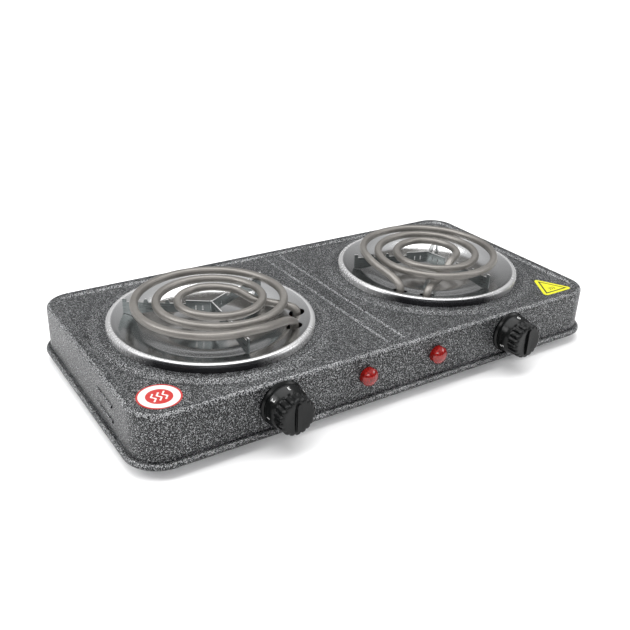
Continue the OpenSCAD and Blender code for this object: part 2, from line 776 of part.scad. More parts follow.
module burner_wires(side) {
    a = burner_point(side, leg_a);
    b = burner_point(side, leg_b);
    under_pin = pin_top - pin_len_below - 0.05;
    under_blade = control_z - 3.05;
    apart = side * 1.15;
    live_x = knob_x(side) - 16;
    link_x = knob_x(side) + 20;
    cross_y = 12;
    drop_y = mouth_y - 8;
    color("firebrick") placed() {
        routed([[apart, mouth_y, run_level], [apart, b[1], run_level], [b[0], b[1], run_level],
                [b[0], b[1], under_pin]], wire_r);
        routed([[link_x, far_blade_y, under_blade], [link_x, far_blade_y, run_level],
                [link_x, a[1], run_level], [a[0], a[1], run_level], [a[0], a[1], under_pin]], wire_r);
        routed([[apart - block_pitch, mouth_y, run_level], [apart - block_pitch, drop_y, run_level],
                [apart - block_pitch, drop_y, floor_level], [apart - block_pitch, cross_y, floor_level],
                [live_x, cross_y, floor_level], [live_x, near_blade_y, floor_level],
                [live_x, near_blade_y, under_blade]], wire_r);
    }
}

module lamp_wires() {
    lamp_back = front_y + 18.05;
    lead_x = 1.1;
    beside = 0.9;
    high = hole_z + 1.3;
    color("royalblue") placed() for (s = [-1, 1]) {
        routed([[s * (lamp_x - lead_x), lamp_back, control_z], [s * (lamp_x - lead_x), -60, control_z],
                [s * beside, -60, control_z], [s * beside, 50, control_z], [s * beside, 50, high],
                [s * beside, mouth_y, high]], thin_r);
        routed([[s * (lamp_x + lead_x), lamp_back, control_z], [s * (lamp_x + lead_x), far_blade_y, control_z],
                [knob_x(s) + blade_shift - s * 18.05, far_blade_y, control_z]], thin_r);
    }
}

// ---------- labels ----------

module caution_label() {
    color("red") placed() translate([-212, -90.5, panel_z + 0.02]) cylinder(h = 0.25, r = 17.3);
}

module hot_surface_label() {
    side_len = 29;
    round_r = 3.2;
    reach = side_len / sqrt(3);
    color("yellow") placed() translate([204.5, -95, panel_z + 0.02]) linear_extrude(0.25) {
        polygon([for (i = [0 : 2]) reach * [cos(90 + 120 * i), sin(90 + 120 * i)]]);
        for (i = [0 : 2]) {
            translate(reach * [cos(90 + 120 * i), sin(90 + 120 * i)]) circle(round_r, $fn = 32);
            rotate(120 * i) translate([-side_len / 2, -reach / 2 - round_r]) square([side_len, round_r + 0.1]);
        }
    }
}

housing();
base_plate();
base_screws();
rubber_feet();
foot_screws();
drip_pan(-1);  // left_drip_pan
drip_pan(1);  // right_drip_pan
element(-1);  // left_element
element(1);  // right_element
support_yoke(-1);  // left_support_yoke
support_yoke(1);  // right_support_yoke
support_arm(-1);  // left_support_arm
support_arm(1);  // right_support_arm
terminal_ceramic(-1);  // left_terminal_ceramic
terminal_ceramic(1);  // right_terminal_ceramic
terminal_pins(-1);  // left_terminal_pins
terminal_pins(1);  // right_terminal_pins
terminal_bracket(-1);  // left_terminal_bracket
terminal_bracket(1);  // right_terminal_bracket
bracket_screws();
knob(-1);  // left_knob
knob(1);  // right_knob
knob_pointer(-1);  // left_knob_pointer
knob_pointer(1);  // right_knob_pointer
knob_bezel(-1);  // left_knob_bezel
knob_bezel(1);  // right_knob_bezel
thermostat_spindle(-1);  // left_thermostat_spindle
thermostat_spindle(1);  // right_thermostat_spindle
thermostat_frame(-1);  // left_thermostat_frame
thermostat_frame(1);  // right_thermostat_frame
thermostat_ceramics(-1);  // left_thermostat_ceramics
thermostat_ceramics(1);  // right_thermostat_ceramics
contact_blades(-1);  // left_contact_blades
contact_blades(1);  // right_contact_blades
push_pin(-1);  // left_push_pin
push_pin(1);  // right_push_pin
thermostat_screws();
lamp_lens(-1);  // left_lamp_lens
lamp_lens(1);  // right_lamp_lens
lamp_holder(-1);  // left_lamp_holder
lamp_holder(1);  // right_lamp_holder
lamp_clips();
cord_gland();
mains_terminal_block();
terminal_block_screws();
earth_screw();
supply_wires();
burner_wires(-1);  // left_burner_wires
burner_wires(1);  // right_burner_wires
lamp_wires();
caution_label();
hot_surface_label();
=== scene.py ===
import json
import math

import bmesh
import bpy
from mathutils import Matrix, Vector


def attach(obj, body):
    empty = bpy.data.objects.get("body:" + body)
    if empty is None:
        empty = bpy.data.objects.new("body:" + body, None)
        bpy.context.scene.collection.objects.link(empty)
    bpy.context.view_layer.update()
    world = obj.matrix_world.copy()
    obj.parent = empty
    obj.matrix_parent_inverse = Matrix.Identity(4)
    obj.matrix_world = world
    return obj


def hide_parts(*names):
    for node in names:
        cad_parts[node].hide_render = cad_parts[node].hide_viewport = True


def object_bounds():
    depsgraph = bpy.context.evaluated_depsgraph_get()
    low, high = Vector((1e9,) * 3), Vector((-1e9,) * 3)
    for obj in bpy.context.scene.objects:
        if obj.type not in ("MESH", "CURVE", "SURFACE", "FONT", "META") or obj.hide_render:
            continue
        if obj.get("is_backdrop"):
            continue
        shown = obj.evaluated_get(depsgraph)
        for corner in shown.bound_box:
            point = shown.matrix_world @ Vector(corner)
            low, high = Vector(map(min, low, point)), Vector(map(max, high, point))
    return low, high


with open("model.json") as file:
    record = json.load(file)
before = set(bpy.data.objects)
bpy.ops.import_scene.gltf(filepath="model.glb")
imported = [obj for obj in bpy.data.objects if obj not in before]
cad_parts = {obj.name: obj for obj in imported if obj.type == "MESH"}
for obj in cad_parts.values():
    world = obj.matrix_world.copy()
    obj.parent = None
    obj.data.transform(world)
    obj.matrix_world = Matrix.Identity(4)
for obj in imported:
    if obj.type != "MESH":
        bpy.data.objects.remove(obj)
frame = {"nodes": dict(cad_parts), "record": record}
NODES = frame["nodes"]


def write_bounds(key, sizes):
    low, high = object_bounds()
    sizes[key] = [[float(c) for c in low], [float(c) for c in high]]


SIZES = {}
write_bounds("cad", SIZES)

MM = 0.001
ORIGIN_Y = 10.2
FOOT_H = 8.0
BODY_H = 47.0
BURNER_X = 123.0
FRONT_Y = -118.0
CONTROL_Z = 27.0
CAUTION_AT = (-212.0, -90.5)
HOT_AT = (204.5, -95.0)
KNOB_X = BURNER_X + 1
KNOB_SHIFT = 2.0                        # both knobs sit a little to the right
RIGHT_TURN = -107.0                     # of the right burner against the left one, in degrees
PANEL_Z = BODY_H - 1.7                  # the top panel lies below the border


def place(x, y, z):
    """A point of the CAD source's body frame, in metres of the shared frame."""
    return Vector((x * MM, (y + ORIGIN_Y) * MM, (z + FOOT_H) * MM))


# ---------------------------------------------------------------- node helpers


class Graph:
    """A short way to write shader nodes."""

    def __init__(self, name):
        self.mat = bpy.data.materials.new(name)
        self.mat.use_nodes = True
        self.tree = self.mat.node_tree
        self.tree.nodes.clear()
        self.out = self.tree.nodes.new("ShaderNodeOutputMaterial")
        self.bsdf = self.tree.nodes.new("ShaderNodeBsdfPrincipled")
        self.link(self.bsdf.outputs[0], self.out.inputs[0])
        self.coord = self.tree.nodes.new("ShaderNodeTexCoord").outputs["Object"]

    def link(self, a, b):
        self.tree.links.new(a, b)

    def put(self, socket, value):
        if isinstance(value, bpy.types.NodeSocket):
            self.link(value, socket)
        else:
            socket.default_value = value

    def math(self, op, a, b=0.0):
        n = self.tree.nodes.new("ShaderNodeMath")
        n.operation = op
        self.put(n.inputs[0], a)
        self.put(n.inputs[1], b)
        return n.outputs[0]

    def vec(self, op, a, b=(0, 0, 0)):
        n = self.tree.nodes.new("ShaderNodeVectorMath")
        n.operation = op
        self.put(n.inputs[0], a)
        self.put(n.inputs[1], b)
        return n.outputs["Value"] if op in ("LENGTH", "DISTANCE", "DOT_PRODUCT") else n.outputs[0]

    def parts(self, v):
        n = self.tree.nodes.new("ShaderNodeSeparateXYZ")
        self.link(v, n.inputs[0])
        return n.outputs

    def upward(self):
        """How far the surface faces up: 1 when level, 0 on a wall."""
        normal = self.tree.nodes.new("ShaderNodeTexCoord").outputs["Normal"]
        return self.parts(self.vec("NORMALIZE", normal))[2]

    def noise(self, scale, detail=3.0, rough=0.5, distortion=0.0, vector=None):
        n = self.tree.nodes.new("ShaderNodeTexNoise")
        self.link(vector or self.coord, n.inputs["Vector"])
        n.inputs["Scale"].default_value = scale
        n.inputs["Detail"].default_value = detail
        n.inputs["Roughness"].default_value = rough
        n.inputs["Distortion"].default_value = distortion
        return n.outputs["Fac"]

    def cells(self, scale, randomness=1.0):
        n = self.tree.nodes.new("ShaderNodeTexVoronoi")
        self.link(self.coord, n.inputs["Vector"])
        n.inputs["Scale"].default_value = scale
        n.inputs["Randomness"].default_value = randomness
        return n.outputs["Distance"]

    def ramp(self, fac, stops, interpolation="LINEAR"):
        n = self.tree.nodes.new("ShaderNodeValToRGB")
        self.put(n.inputs[0], fac)
        n.color_ramp.interpolation = interpolation
        ramp = n.color_ramp.elements
        while len(ramp) < len(stops):
            ramp.new(0.5)
        for e, (pos, col) in zip(ramp, stops):
            e.position = pos
            e.color = (*col, 1.0)
        return n.outputs[0]

    def range(self, value, a, b, c, d):
        n = self.tree.nodes.new("ShaderNodeMapRange")
        self.put(n.inputs[0], value)
        for s, v in zip(n.inputs[1:5], (a, b, c, d)):
            s.default_value = v
        return n.outputs[0]

    def mix(self, fac, a, b):
        n = self.tree.nodes.new("ShaderNodeMix")
        n.data_type = "RGBA"
        self.put(n.inputs[0], fac)
        self.put(n.inputs[6], a if not isinstance(a, tuple) else (*a, 1.0))
        self.put(n.inputs[7], b if not isinstance(b, tuple) else (*b, 1.0))
        return n.outputs[2]

    def bump(self, height, distance, strength=1.0):
        n = self.tree.nodes.new("ShaderNodeBump")
        self.link(height, n.inputs["Height"])
        n.inputs["Distance"].default_value = distance
        n.inputs["Strength"].default_value = strength
        self.link(n.outputs[0], self.bsdf.inputs["Normal"])

    def set(self, **values):
        names = {
            "color": "Base Color", "metal": "Metallic", "rough": "Roughness", "coat": "Coat Weight",
            "coat_rough": "Coat Roughness", "specular": "Specular IOR Level",
            "emission": "Emission Color", "emission_strength": "Emission Strength",
        }
        for key, value in values.items():
            if isinstance(value, tuple) and len(value) == 3:
                value = (*value, 1.0)
            self.put(self.bsdf.inputs[names[key]], value)
        return self.mat


# ---------------------------------------------------------------- materials


def enamel():
    """Hammered powder coat: fine silvery flecks on a dark ground, with a painted highlight that makes the
    flecks denser and lighter where the sheet slopes.
    """
    g = Graph("enamel_speckle")
    flecks = g.noise(1250.0, detail=1.4, rough=0.5, distortion=1.0)
    broad = g.noise(30.0, detail=3.0)
    level = g.upward()
    # painted highlight: faces that slope, neither level nor upright, get more and lighter flecks
    painted_slope_highlight = g.math("MULTIPLY", g.range(level, 0.10, 0.45, 0.0, 1.0),
                  g.range(level, 0.955, 0.998, 1.0, 0.0))
    shifted = g.math("ADD", flecks, g.math("MULTIPLY", g.math("SUBTRACT", broad, 0.5), 0.05))
    shifted = g.math("ADD", shifted, g.math("MULTIPLY", painted_slope_highlight, 0.06))
    fac = g.range(shifted, 0.455, 0.645, 0.0, 1.0)
    color = g.ramp(fac, [(0.0, (0.003, 0.0035, 0.004)), (0.40, (0.009, 0.010, 0.0115)),
                         (0.62, (0.055, 0.058, 0.061)), (1.0, (0.42, 0.425, 0.43))])
    g.bump(flecks, 0.0003, 0.7)
    return g.set(color=color, metal=g.range(fac, 0.0, 1.0, 0.0, 0.35),
                 rough=g.range(broad, 0.3, 0.7, 0.36, 0.44), specular=0.22, coat=0.05, coat_rough=0.15)


def chrome(side):
    """Bright plating, satin on the rolled rim.

    The dark stripe on the rim's outer wall is a painted reflection of a dark surround, not a mirrored one.
    It is fixed on the front left of that wall, on the side that this script's camera looks from. Left out,
    the plating mirrors by itself.
    """
    g = Graph("pan_plating_left" if side < 0 else "pan_plating_right")
    d = g.vec("SUBTRACT", g.coord, tuple(place(side * BURNER_X, 0.0, 0.0)))
    r = g.vec("LENGTH", g.vec("MULTIPLY", d, (1000.0, 1000.0, 0.0)))
    wide = g.noise(14.0, detail=4.0)
    grain = g.noise(420.0, detail=4.0)
    rough = g.math("ADD", g.range(wide, 0.3, 0.7, 0.07, 0.15), g.range(grain, 0.3, 0.7, 0.0, 0.05))
    tone = g.mix(wide, (0.60, 0.605, 0.605), (0.72, 0.725, 0.725))
    crest = g.range(r, 86.0, 87.0, 0.0, 1.0)
    tone = g.mix(crest, tone, (0.62, 0.62, 0.62))
    # painted reflection: a dark stripe on the rim's outer wall, on the side facing front left, stands in
    # for the dark surround that the plating would mirror
    front_left = (-500.0, -866.0, 0.0)
    facing = g.math("DIVIDE", g.vec("DOT_PRODUCT", d, front_left), r)
    wall = g.range(r, 89.3, 90.2, 0.0, 1.0)
    painted_reflection_band = g.math("MULTIPLY", wall, g.range(facing, 0.60, 0.90, 0.0, 1.0))
    tone = g.mix(painted_reflection_band, tone, (0.025, 0.025, 0.028))
    g.bump(g.noise(55.0, detail=2.0), 0.0002, 0.25)
    return g.set(color=tone, metal=g.range(crest, 0.0, 1.0, 1.0, 0.6),
                 rough=g.math("ADD", rough, g.math("MULTIPLY", crest, 0.12)))


def sheath():
    """The element's alloy tube: warm grey, satin, a little stained by heat."""
    g = Graph("element_sheath")
    stain = g.noise(30.0, detail=5.0, rough=0.6)
    grain = g.noise(900.0, detail=3.0)
    tone = g.mix(stain, (0.165, 0.156, 0.144), (0.280, 0.266, 0.248))
    tone = g.mix(g.range(grain, 0.35, 0.65, 0.0, 0.25), tone, (0.12, 0.112, 0.10))
    g.bump(grain, 0.00012, 0.5)
    return g.set(color=tone, metal=0.6, rough=g.range(stain, 0.3, 0.7, 0.36, 0.48))


def sheet_with_painted_top():
    """Thin dark steel strip for the supports, with drawn lines and a painted highlight that makes its
    upward faces near white.
    """
    g = Graph("support_strip")
    stretched = g.vec("MULTIPLY", g.coord, (60.0, 60.0, 1400.0))
    lines = g.noise(1.0, detail=3.0, vector=stretched)
    cloud = g.noise(60.0, detail=3.0)
    level = g.upward()
    tone = g.mix(cloud, (0.10, 0.112, 0.112), (0.20, 0.215, 0.215))
    # painted highlight: faces turned up are painted near white
    tone = g.mix(g.range(level, 0.3, 0.7, 0.0, 1.0), tone, (0.86, 0.86, 0.85))
    g.bump(lines, 0.0001, 0.3)
    return g.set(color=tone, metal=0.85, rough=g.range(lines, 0.3, 0.7, 0.24, 0.38))


def zinc():
    g = Graph("zinc_plate")
    flakes = g.cells(260.0)
    cloud = g.noise(25.0, detail=4.0)
    tone = g.mix(g.range(flakes, 0.0, 0.9, 0.0, 1.0), (0.50, 0.51, 0.53), (0.66, 0.67, 0.69))
    g.bump(flakes, 0.00005, 0.4)
    return g.set(color=tone, metal=1.0, rough=g.range(cloud, 0.3, 0.7, 0.28, 0.45))


def phenolic():
    g = Graph("black_moulding")
    cloud = g.noise(90.0, detail=4.0)
    grain = g.noise(2600.0, detail=2.0)
    tone = g.mix(cloud, (0.0022, 0.0025, 0.0025), (0.0060, 0.0065, 0.0065))
    g.bump(grain, 0.00006, 0.5)
    return g.set(color=tone, rough=g.range(cloud, 0.3, 0.7, 0.17, 0.28), specular=0.20)


def rubber():
    g = Graph("foot_rubber")
    cloud = g.noise(140.0, detail=4.0)
    g.bump(g.noise(1500.0, detail=2.0), 0.0001, 0.6)
    return g.set(color=g.mix(cloud, (0.012, 0.012, 0.012), (0.028, 0.028, 0.028)),
                 rough=g.range(cloud, 0.3, 0.7, 0.62, 0.82))


def ceramic():
    g = Graph("steatite")
    cloud = g.noise(120.0, detail=4.0)
    g.bump(g.noise(1300.0, detail=3.0), 0.00008, 0.5)
    return g.set(color=g.mix(cloud, (0.70, 0.67, 0.58), (0.82, 0.80, 0.73)),
                 rough=g.range(cloud, 0.3, 0.7, 0.42, 0.60))


def brass():
    g = Graph("contact_brass")
    cloud = g.noise(80.0, detail=4.0)
    return g.set(color=g.mix(cloud, (0.62, 0.44, 0.18), (0.78, 0.60, 0.30)), metal=1.0,
                 rough=g.range(cloud, 0.3, 0.7, 0.22, 0.38))


def sleeve():
    g = Graph("wire_sleeve")
    weave = g.cells(1500.0, randomness=0.2)
    cloud = g.noise(60.0)
    g.bump(weave, 0.0001, 0.6)
    return g.set(color=g.mix(cloud, (0.32, 0.13, 0.06), (0.48, 0.24, 0.13)), rough=0.6)


def lamp_red():
    """Red lens, deep and a little cloudy."""
    g = Graph("lamp_red")
    speck = g.noise(700.0, detail=2.0)
    tone = g.mix(g.range(speck, 0.35, 0.65, 0.0, 1.0), (0.13, 0.0025, 0.002), (0.30, 0.007, 0.005))
    g.bump(speck, 0.0001, 0.25)
    return g.set(color=tone, rough=0.14, specular=0.4, coat=0.3, coat_rough=0.06)


def caution_film():
    """A round sticker without wording: red edge, white band, red disc with white heat lines."""
    g = Graph("label_round")
    d = g.vec("SUBTRACT", g.coord, tuple(place(*CAUTION_AT, PANEL_Z)))
    d = g.vec("MULTIPLY", d, (1000.0, 1000.0, 0.0))
    x, y, _ = g.parts(d)
    r = g.vec("LENGTH", d)
    red, white = (0.42, 0.010, 0.008), (0.70, 0.69, 0.67)
    bands = g.ramp(g.math("DIVIDE", r, 20.0), [(0.0, red), (0.52, white), (0.79, red)], "CONSTANT")
    wave = g.math("ADD", x, g.math("MULTIPLY", g.math("SINE", g.math("MULTIPLY", y, 0.9)), 1.1))
    line = g.math("ABSOLUTE", g.math("SUBTRACT", g.math("FRACT", g.math(
        "ADD", g.math("DIVIDE", wave, 4.6), 0.5)), 0.5))
    window = g.math("MULTIPLY", g.math("LESS_THAN", g.math("ABSOLUTE", x), 6.6),
                    g.math("LESS_THAN", g.math("ABSOLUTE", y), 5.6))
    bands = g.mix(g.math("MULTIPLY", g.math("LESS_THAN", line, 0.17), window), bands, white)
    smudge = g.noise(220.0, detail=3.0)
    color = g.mix(g.range(smudge, 0.35, 0.7, 0.0, 0.08), bands, (0.34, 0.30, 0.29))
    g.bump(smudge, 0.00004, 0.4)
    return g.set(color=color, rough=g.range(smudge, 0.3, 0.7, 0.34, 0.46))


def hot_film():
    """A yellow triangle with a dark inner line and plain wavy bars, without wording."""
    g = Graph("label_triangle")
    d = g.vec("SUBTRACT", g.coord, tuple(place(*HOT_AT, PANEL_Z)))
    d = g.vec("MULTIPLY", d, (1000.0, 1000.0, 0.0))
    x, y, _ = g.parts(d)
    cos_30 = 0.8660
    right = g.math("ADD", g.math("MULTIPLY", x, cos_30), g.math("MULTIPLY", y, 0.5))
    left = g.math("ADD", g.math("MULTIPLY", x, -cos_30), g.math("MULTIPLY", y, 0.5))
    inset = g.math("MAXIMUM", g.math("MAXIMUM", right, left), g.math("MULTIPLY", y, -1.0))
    outline = g.math("MULTIPLY", g.math("GREATER_THAN", inset, 6.9), g.math("LESS_THAN", inset, 8.5))
    wave = g.math("ADD", x, g.math("MULTIPLY", g.math("SINE", g.math("MULTIPLY", y, 1.1)), 0.5))
    stripes = g.math("LESS_THAN", g.math("ABSOLUTE", g.math("SUBTRACT", g.math("FRACT", g.math(
        "ADD", g.math("DIVIDE", wave, 2.8), 0.5)), 0.5)), 0.20)
    window = g.math("MULTIPLY", g.math("LESS_THAN", g.math("ABSOLUTE", x), 4.3),
                    g.math("LESS_THAN", g.math("ABSOLUTE", g.math("ADD", y, 1.8)), 2.6))
    dark = g.math("MAXIMUM", outline, g.math("MULTIPLY", stripes, window))
    smudge = g.noise(200.0, detail=3.0)
    film = g.mix(smudge, (0.60, 0.58, 0.008), (0.68, 0.66, 0.014))
    g.bump(smudge, 0.00004, 0.4)
    return g.set(color=g.mix(dark, film, (0.012, 0.011, 0.006)),
                 rough=g.range(smudge, 0.3, 0.7, 0.36, 0.48))


def white_ink():
    g = Graph("dial_ink")
    wear = g.noise(500.0, detail=3.0)
    return g.set(color=g.mix(wear, (0.62, 0.62, 0.61), (0.80, 0.80, 0.79)), rough=0.5)


MATERIALS = {
    "enamel": enamel(), "sheath": sheath(), "zinc": zinc(),
    "black_plastic": phenolic(), "rubber": rubber(), "ceramic": ceramic(), "brass": brass(),
    "wire_sleeve": sleeve(), "lamp_red": lamp_red(), "label_red": caution_film(),
    "label_yellow": hot_film(), "pan_left": chrome(-1), "pan_right": chrome(1),
    "strip": sheet_with_painted_top(), "ink": white_ink(),
}


def dress(obj, material):
    obj.data.materials.clear()
    obj.data.materials.append(MATERIALS[material])


# ---------------------------------------------------------------- mesh helpers


def new_mesh(name, verts, faces, smooth=True):
    mesh = bpy.data.meshes.new(name)
    mesh.from_pydata([tuple(v) for v in verts], [], faces)
    mesh.update()
    for p in mesh.polygons:
        p.use_smooth = smooth
    obj = bpy.data.objects.new(name, mesh)
    bpy.context.scene.collection.objects.link(obj)
    return obj


def sharp_edges(obj, angle):
    """Marks edges steeper than angle as sharp and smooths the rest."""
    bm = bmesh.new()
    bm.from_mesh(obj.data)
    for f in bm.faces:
        f.smooth = True
    for e in bm.edges:
        if len(e.link_faces) == 2 and e.calc_face_angle(0.0) > math.radians(angle):
            e.smooth = False
    bm.to_mesh(obj.data)
    bm.free()


def face_outward(obj, weld=0.0):
    """Turns all faces outward, after welding points closer than the given distance."""
    bm = bmesh.new()
    bm.from_mesh(obj.data)
    if weld > 0:
        bmesh.ops.remove_doubles(bm, verts=bm.verts, dist=weld)
    bmesh.ops.recalc_face_normals(bm, faces=bm.faces)
    bm.to_mesh(obj.data)
    bm.free()


def finished(obj, node, material, body="base"):
    """The piece stands for a CAD node, rides on its body and takes its slot."""
    dress(obj, material)
    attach(obj, body)
    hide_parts(node)
    return obj


def turned(side, x, y, z):
    """A point of a burner's own frame in the shared frame."""
    a = math.radians(RIGHT_TURN if side > 0 else 0.0)
    return place(side * BURNER_X + x * math.cos(a) - y * math.sin(a),
                 x * math.sin(a) + y * math.cos(a), z)


# ---------------------------------------------------------------- the heating elements

TUBE_R = 3.7
FLAT = 0.6                              # cut off the tube's top
TURN_R = 66.5
PITCH = 18.7
STEP_AT = 20.0                          # where the spiral steps inward, in degrees
TUBE_Z = BODY_H + 22.5 - TUBE_R + FLAT
LEAD_Z = TUBE_Z - 2 * TUBE_R - 1        # the inner lead passes under the turns
PIN_TOP = BODY_H - 21.0
LEAD_SWEEP = 20.0                       # of the outer turn that already comes down, in degrees
OUTER_LEG = (74.0, -43.0)               # radius and angle
INNER_LEG = (75.5, -23.0)
LEG_HOLE_R = 7.0
ARC_STEP = 2.5


def polar(r, at):
    return Vector((r * math.cos(math.radians(at)), r * math.sin(math.radians(at)), 0.0))


def arc_points(cx, r, start, end):
    """Clockwise arc about (cx, 0) in the spiral's own frame, turned by the step direction."""
    count = max(2, int(abs(start - end) / ARC_STEP))
    points = []
    for i in range(count + 1):
        a = start + (end - start) * i / count
        p = Vector((cx, 0, 0)) + polar(r, a)
        points.append(Matrix.Rotation(math.radians(STEP_AT), 3, "Z") @ p)
    return points


def rounded(points, radii, steps):
    """A polyline with its inner corners replaced by arcs of the given radii."""
    out = [points[0]]
    for i in range(1, len(points) - 1):
        p = points[i]
        a = (points[i - 1] - p).normalized()
        b = (points[i + 1] - p).normalized()
        turn = math.pi - a.angle(b)
        trim = radii[i - 1] * math.tan(turn / 2)
        start, end = p + a * trim, p + b * trim
        for k in range(steps + 1):
            t = k / steps
            out.append(start.lerp(p, t).lerp(p.lerp(end, t), t))
    out.append(points[-1])
    return out


def lead_drop(run):
    """How far the outer lead has come down after so much of its run."""
    return 0.15 * (run - 5.0 * (1.0 - math.exp(-run / 5.0))) + 0.016 * max(0.0, run - 40.0) ** 2


def spiral_path():
    """Middle of the tube with the horizontal heading that its flat side keeps."""
    outer_start = OUTER_LEG[1] - math.degrees(math.acos(TURN_R / OUTER_LEG[0]))
    turn_3 = TURN_R - 2 * PITCH
    inner_stop = INNER_LEG[1] + math.degrees(math.acos(turn_3 / INNER_LEG[0]))
    half = PITCH / 2
    sweep = 360 + outer_start - STEP_AT
    turns = arc_points(0, TURN_R, sweep, 0)
    turns += arc_points(half, TURN_R - half, 0, -180)[1:]
    turns += arc_points(0, TURN_R - PITCH, 180, 0)[1:]
    turns += arc_points(half, TURN_R - PITCH - half, 0, -180)[1:]
    turns += arc_points(0, turn_3, 180, inner_stop - STEP_AT)[1:]
    count = max(2, int(sweep / ARC_STEP))
    for i, p in enumerate(turns):
        past = LEAD_SWEEP - sweep * i / count
        p.z = TUBE_Z - lead_drop(TURN_R * math.radians(past)) if past > 0 else TUBE_Z
    a, b = polar(*OUTER_LEG), polar(*INNER_LEG)
    first, last = turns[0], turns[-1]
    out = (a - Vector((first.x, first.y, 0))).normalized()
    along = (b - Vector((last.x, last.y, 0))).normalized()
    arc = TURN_R * math.radians(LEAD_SWEEP)
    length = arc + (a - Vector((first.x, first.y, 0))).length
    slope = [a - out * (length - run) + Vector((0, 0, TUBE_Z - lead_drop(run)))
             for run in (length, length - 5, length - 9, length - 13, arc + 14, arc + 7)]
    outer = rounded([Vector((a.x, a.y, PIN_TOP))] + slope + [first], [5.0, 6, 9, 12, 14, 14], 6)
    inner = rounded([last, last + along * 12, last + along * 30 + Vector((0, 0, LEAD_Z - TUBE_Z)),
                     Vector((b.x, b.y, LEAD_Z - 1.2)) - along * 9,
                     Vector((b.x, b.y, LEAD_Z - 3.2)), Vector((b.x, b.y, PIN_TOP))], [22, 22, 16, 6.0], 8)
    path = [(p, -out) for p in outer[:-1]]
    for i, p in enumerate(turns):
        q = turns[min(i + 1, len(turns) - 1)] - turns[max(i - 1, 0)]
        path.append((p, q.normalized()))
    path += [(p, along) for p in inner[1:]]
    return path


def element(side, node):
    """The tube swept along its path, with its flat top kept level."""
    path = spiral_path()
    ring = 24
    verts = []
    for i, (p, head) in enumerate(path):
        t = (path[min(i + 1, len(path) - 1)][0] - path[max(i - 1, 0)][0]).normalized()
        across = Vector((head.y, -head.x, 0)).normalized()
        up = across.cross(t).normalized()
        if up.z < -0.2:
            up = -up
        flat = FLAT * max(0.0, min(1.0, (abs(up.z) - 0.6) / 0.35))
        for k in range(ring):
            phi = 2 * math.pi * k / ring
            v = min(TUBE_R * math.sin(phi), TUBE_R - flat)
            q = p + across * (TUBE_R * math.cos(phi)) + up * v
            verts.append(turned(side, q.x, q.y, q.z))
    faces = []
    for i in range(len(path) - 1):
        for k in range(ring):
            a, b = i * ring + k, i * ring + (k + 1) % ring
            faces.append((a, b, b + ring, a + ring))
    faces.append(tuple(range(ring)))
    faces.append(tuple(range(len(verts) - 1, len(verts) - ring - 1, -1)))
    obj = new_mesh(node + "_tube", verts, faces)
    face_outward(obj)
    sharp_edges(obj, 40.0)
    return finished(obj, node, "sheath")


# ---------------------------------------------------------------- drip pans

PAN_R = 91.3
PAN_T = 0.8
PAN_RISE = 7.2                          # of the rim above the collar
CREST_R = 3.0
COLLAR_Z = BODY_H - 0.4


def catmull(points, steps):
    """A smooth line through the points."""
    out = []
    for i in range(len(points) - 1):
        p0 = points[max(i - 1, 0)]
        p1, p2 = points[i], points[i + 1]
        p3 = points[min(i + 2, len(points) - 1)]
        for k in range(steps):
            t = k / steps
            out.append(tuple(
                0.5 * (2 * b + (c - a) * t + (2 * a - 5 * b + 4 * c - d) * t * t
                       + (3 * b - a - 3 * c + d) * t ** 3)
                for a, b, c, d in zip(p0, p1, p2, p3)))
    out.append(tuple(points[-1]))
    return out


def pan_profile():
    """Middle of the sheet from the axis outward: dish, rolled crest, outer wall."""
    wall = PAN_R - PAN_T / 2
    top = COLLAR_Z + PAN_RISE - PAN_T / 2
    dish = [(0.0, BODY_H - 6.2), (20.0, BODY_H - 6.2), (38.0, BODY_H - 6.2), (46.0, BODY_H - 5.5),
            (54.0, BODY_H - 3.6), (62.0, BODY_H - 0.8), (71.0, BODY_H + 2.6), (80.0, BODY_H + 4.6),
            (83.6, top - 1.1)]
    smooth = catmull(dish, 5)
    crest = [(wall - CREST_R + CREST_R * math.cos(math.radians(a)),
              top - CREST_R + CREST_R * math.sin(math.radians(a))) for a in range(110, -1, -10)]
    return smooth + crest + [(wall, COLLAR_Z + 2.0), (wall, COLLAR_Z + 0.1)]


def offset_line(line, d):
    """The line moved sideways by d, kept off the far side of the axis."""
    out = []
    for i, p in enumerate(line):
        a, b = line[max(i - 1, 0)], line[min(i + 1, len(line) - 1)]
        vx, vy = b[0] - a[0], b[1] - a[1]
        n = math.hypot(vx, vy)
        out.append((max(0.0, p[0] - vy / n * d), p[1] + vx / n * d))
    return out


def lathe(name, outline, side, segments=180):
    """Turns a closed outline of (radius, height) about a burner's axis."""
    verts, faces, rows = [], [], []
    for r, z in outline:
        if r < 1e-6:
            rows.append([len(verts)])
            verts.append(turned(side, 0, 0, z))
        else:
            rows.append(list(range(len(verts), len(verts) + segments)))
            for k in range(segments):
                a = 2 * math.pi * k / segments
                verts.append(turned(side, r * math.cos(a), r * math.sin(a), z))
    for i in range(len(rows)):
        p, q = rows[i], rows[(i + 1) % len(rows)]
        if len(p) == 1 and len(q) == 1:
            continue
        for k in range(segments):
            m = (k + 1) % segments
            if len(p) == 1:
                faces.append((p[0], q[k], q[m]))
            elif len(q) == 1:
                faces.append((p[k], q[0], p[m]))
            else:
                faces.append((p[k], q[k], q[m], p[m]))
    obj = new_mesh(name, verts, faces)
    face_outward(obj)
    return obj


def cutter(side, legs, r):
    """Cylinders that cut the leg holes."""
    bm = bmesh.new()
    for leg in legs:
        p = turned(side, leg.x, leg.y, BODY_H)
        bmesh.ops.create_cone(bm, cap_ends=True, segments=48, radius1=r * MM, radius2=r * MM,
                              depth=40 * MM, matrix=Matrix.Translation(p))
    mesh = bpy.data.meshes.new("cutter")
    bm.to_mesh(mesh)
    bm.free()
    obj = bpy.data.objects.new("cutter", mesh)
    bpy.context.scene.collection.objects.link(obj)
    return obj


